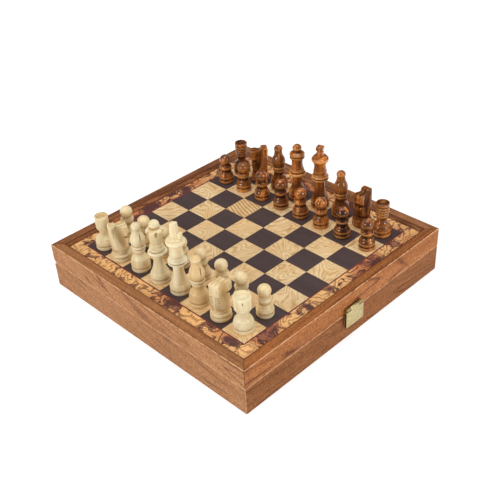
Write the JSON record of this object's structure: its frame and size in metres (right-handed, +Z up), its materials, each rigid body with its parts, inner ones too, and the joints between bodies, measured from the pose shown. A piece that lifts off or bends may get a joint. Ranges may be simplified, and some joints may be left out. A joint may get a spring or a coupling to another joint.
{
  "type": "chess box",
  "caption": "Square wooden box whose hinged lid is a chessboard, with a front clasp and a full set of turned chessmen standing on the lid.",
  "frame": {"origin": "middle of the flat underside of the box", "axes": "+Z up out of the board, -Y the front with the clasp, +Y the back with the hinges, +X the side of the black men"},
  "size_m": [0.27, 0.2739, 0.1191],
  "materials": {
    "walnut_rail": "satin walnut",
    "walnut_board": "satin walnut",
    "felt": "green felt",
    "panel_board": "plain board",
    "light_veneer": "pale burl veneer, satin",
    "dark_veneer": "dark veneer, satin",
    "stringing": "dark line, satin",
    "burl_veneer": "orange-gold burl veneer, satin",
    "hinge_brass": "plain brass",
    "screw_brass": "plain brass",
    "clasp_metal": "brushed pale brass",
    "clasp_pin": "plain brass",
    "magnet": "plated magnet",
    "pale_wood": "natural pale wood, satin",
    "stained_wood": "brown stain, gloss"
  },
  "bodies": {
    "base": {"base_front_rail": "walnut_rail", "base_back_rail": "walnut_rail", "base_left_rail": "walnut_rail", "base_right_rail": "walnut_rail", "base_bottom_panel": "walnut_board", "base_lining": "felt", "left_hinge_base_leaf": "hinge_brass", "right_hinge_base_leaf": "hinge_brass", "hinge_pins": "hinge_brass", "base_screws": "screw_brass", "latch_keeper": "clasp_metal", "latch_magnet": "magnet"},
    "lid": {"lid_front_rail": "walnut_rail", "lid_back_rail": "walnut_rail", "lid_left_rail": "walnut_rail", "lid_right_rail": "walnut_rail", "board_panel": "panel_board", "light_squares": "light_veneer", "dark_squares": "dark_veneer", "board_stringing": "stringing", "burl_border": "burl_veneer", "lid_lining": "felt", "left_hinge_lid_leaf": "hinge_brass", "right_hinge_lid_leaf": "hinge_brass", "lid_screws": "screw_brass", "latch_mount": "clasp_metal", "latch_pin": "clasp_pin"},
    "latch": {"latch_flap": "clasp_metal"},
    "white_pawn_a": {"white_pawn_a": "pale_wood"},
    "white_pawn_b": {"white_pawn_b": "pale_wood"},
    "white_pawn_c": {"white_pawn_c": "pale_wood"},
    "white_pawn_d": {"white_pawn_d": "pale_wood"},
    "white_pawn_e": {"white_pawn_e": "pale_wood"},
    "white_pawn_f": {"white_pawn_f": "pale_wood"},
    "white_pawn_g": {"white_pawn_g": "pale_wood"},
    "white_pawn_h": {"white_pawn_h": "pale_wood"},
    "black_pawn_a": {"black_pawn_a": "stained_wood"},
    "black_pawn_b": {"black_pawn_b": "stained_wood"},
    "black_pawn_c": {"black_pawn_c": "stained_wood"},
    "black_pawn_d": {"black_pawn_d": "stained_wood"},
    "black_pawn_e": {"black_pawn_e": "stained_wood"},
    "black_pawn_f": {"black_pawn_f": "stained_wood"},
    "black_pawn_g": {"black_pawn_g": "stained_wood"},
    "black_pawn_h": {"black_pawn_h": "stained_wood"},
    "white_rook_a": {"white_rook_a": "pale_wood"},
    "white_knight_b": {"white_knight_b": "pale_wood"},
    "white_bishop_c": {"white_bishop_c": "pale_wood"},
    "white_queen": {"white_queen": "pale_wood"},
    "white_king": {"white_king": "pale_wood"},
    "white_bishop_f": {"white_bishop_f": "pale_wood"},
    "white_knight_g": {"white_knight_g": "pale_wood"},
    "white_rook_h": {"white_rook_h": "pale_wood"},
    "black_rook_a": {"black_rook_a": "stained_wood"},
    "black_knight_b": {"black_knight_b": "stained_wood"},
    "black_bishop_c": {"black_bishop_c": "stained_wood"},
    "black_queen": {"black_queen": "stained_wood"},
    "black_king": {"black_king": "stained_wood"},
    "black_bishop_f": {"black_bishop_f": "stained_wood"},
    "black_knight_g": {"black_knight_g": "stained_wood"},
    "black_rook_h": {"black_rook_h": "stained_wood"}
  },
  "joints": [
    {"name": "lid_hinge", "type": "hinge", "parent": "base", "child": "lid", "pos_m": [0, 0.132, 0.02865], "axis": [-1, 0, 0], "range_deg": [0, 100]},
    {"name": "latch_hinge", "type": "hinge", "parent": "lid", "child": "latch", "pos_m": [0.001, -0.1374, 0.035], "axis": [-1, 0, 0], "range_deg": [0, 170]},
    {"name": "lift_white_pawn_a", "type": "slide", "parent": "lid", "child": "white_pawn_a", "axis": [0, 0, 1], "range_m": [0, 0.08]},
    {"name": "lift_white_pawn_b", "type": "slide", "parent": "lid", "child": "white_pawn_b", "axis": [0, 0, 1], "range_m": [0, 0.08]},
    {"name": "lift_white_pawn_c", "type": "slide", "parent": "lid", "child": "white_pawn_c", "axis": [0, 0, 1], "range_m": [0, 0.08]},
    {"name": "lift_white_pawn_d", "type": "slide", "parent": "lid", "child": "white_pawn_d", "axis": [0, 0, 1], "range_m": [0, 0.08]},
    {"name": "lift_white_pawn_e", "type": "slide", "parent": "lid", "child": "white_pawn_e", "axis": [0, 0, 1], "range_m": [0, 0.08]},
    {"name": "lift_white_pawn_f", "type": "slide", "parent": "lid", "child": "white_pawn_f", "axis": [0, 0, 1], "range_m": [0, 0.08]},
    {"name": "lift_white_pawn_g", "type": "slide", "parent": "lid", "child": "white_pawn_g", "axis": [0, 0, 1], "range_m": [0, 0.08]},
    {"name": "lift_white_pawn_h", "type": "slide", "parent": "lid", "child": "white_pawn_h", "axis": [0, 0, 1], "range_m": [0, 0.08]},
    {"name": "lift_black_pawn_a", "type": "slide", "parent": "lid", "child": "black_pawn_a", "axis": [0, 0, 1], "range_m": [0, 0.08]},
    {"name": "lift_black_pawn_b", "type": "slide", "parent": "lid", "child": "black_pawn_b", "axis": [0, 0, 1], "range_m": [0, 0.08]},
    {"name": "lift_black_pawn_c", "type": "slide", "parent": "lid", "child": "black_pawn_c", "axis": [0, 0, 1], "range_m": [0, 0.08]},
    {"name": "lift_black_pawn_d", "type": "slide", "parent": "lid", "child": "black_pawn_d", "axis": [0, 0, 1], "range_m": [0, 0.08]},
    {"name": "lift_black_pawn_e", "type": "slide", "parent": "lid", "child": "black_pawn_e", "axis": [0, 0, 1], "range_m": [0, 0.08]},
    {"name": "lift_black_pawn_f", "type": "slide", "parent": "lid", "child": "black_pawn_f", "axis": [0, 0, 1], "range_m": [0, 0.08]},
    {"name": "lift_black_pawn_g", "type": "slide", "parent": "lid", "child": "black_pawn_g", "axis": [0, 0, 1], "range_m": [0, 0.08]},
    {"name": "lift_black_pawn_h", "type": "slide", "parent": "lid", "child": "black_pawn_h", "axis": [0, 0, 1], "range_m": [0, 0.08]},
    {"name": "lift_white_rook_a", "type": "slide", "parent": "lid", "child": "white_rook_a", "axis": [0, 0, 1], "range_m": [0, 0.08]},
    {"name": "lift_white_knight_b", "type": "slide", "parent": "lid", "child": "white_knight_b", "axis": [0, 0, 1], "range_m": [0, 0.08]},
    {"name": "lift_white_bishop_c", "type": "slide", "parent": "lid", "child": "white_bishop_c", "axis": [0, 0, 1], "range_m": [0, 0.08]},
    {"name": "lift_white_queen", "type": "slide", "parent": "lid", "child": "white_queen", "axis": [0, 0, 1], "range_m": [0, 0.08]},
    {"name": "lift_white_king", "type": "slide", "parent": "lid", "child": "white_king", "axis": [0, 0, 1], "range_m": [0, 0.08]},
    {"name": "lift_white_bishop_f", "type": "slide", "parent": "lid", "child": "white_bishop_f", "axis": [0, 0, 1], "range_m": [0, 0.08]},
    {"name": "lift_white_knight_g", "type": "slide", "parent": "lid", "child": "white_knight_g", "axis": [0, 0, 1], "range_m": [0, 0.08]},
    {"name": "lift_white_rook_h", "type": "slide", "parent": "lid", "child": "white_rook_h", "axis": [0, 0, 1], "range_m": [0, 0.08]},
    {"name": "lift_black_rook_a", "type": "slide", "parent": "lid", "child": "black_rook_a", "axis": [0, 0, 1], "range_m": [0, 0.08]},
    {"name": "lift_black_knight_b", "type": "slide", "parent": "lid", "child": "black_knight_b", "axis": [0, 0, 1], "range_m": [0, 0.08]},
    {"name": "lift_black_bishop_c", "type": "slide", "parent": "lid", "child": "black_bishop_c", "axis": [0, 0, 1], "range_m": [0, 0.08]},
    {"name": "lift_black_queen", "type": "slide", "parent": "lid", "child": "black_queen", "axis": [0, 0, 1], "range_m": [0, 0.08]},
    {"name": "lift_black_king", "type": "slide", "parent": "lid", "child": "black_king", "axis": [0, 0, 1], "range_m": [0, 0.08]},
    {"name": "lift_black_bishop_f", "type": "slide", "parent": "lid", "child": "black_bishop_f", "axis": [0, 0, 1], "range_m": [0, 0.08]},
    {"name": "lift_black_knight_g", "type": "slide", "parent": "lid", "child": "black_knight_g", "axis": [0, 0, 1], "range_m": [0, 0.08]},
    {"name": "lift_black_rook_h", "type": "slide", "parent": "lid", "child": "black_rook_h", "axis": [0, 0, 1], "range_m": [0, 0.08]}
  ]
}
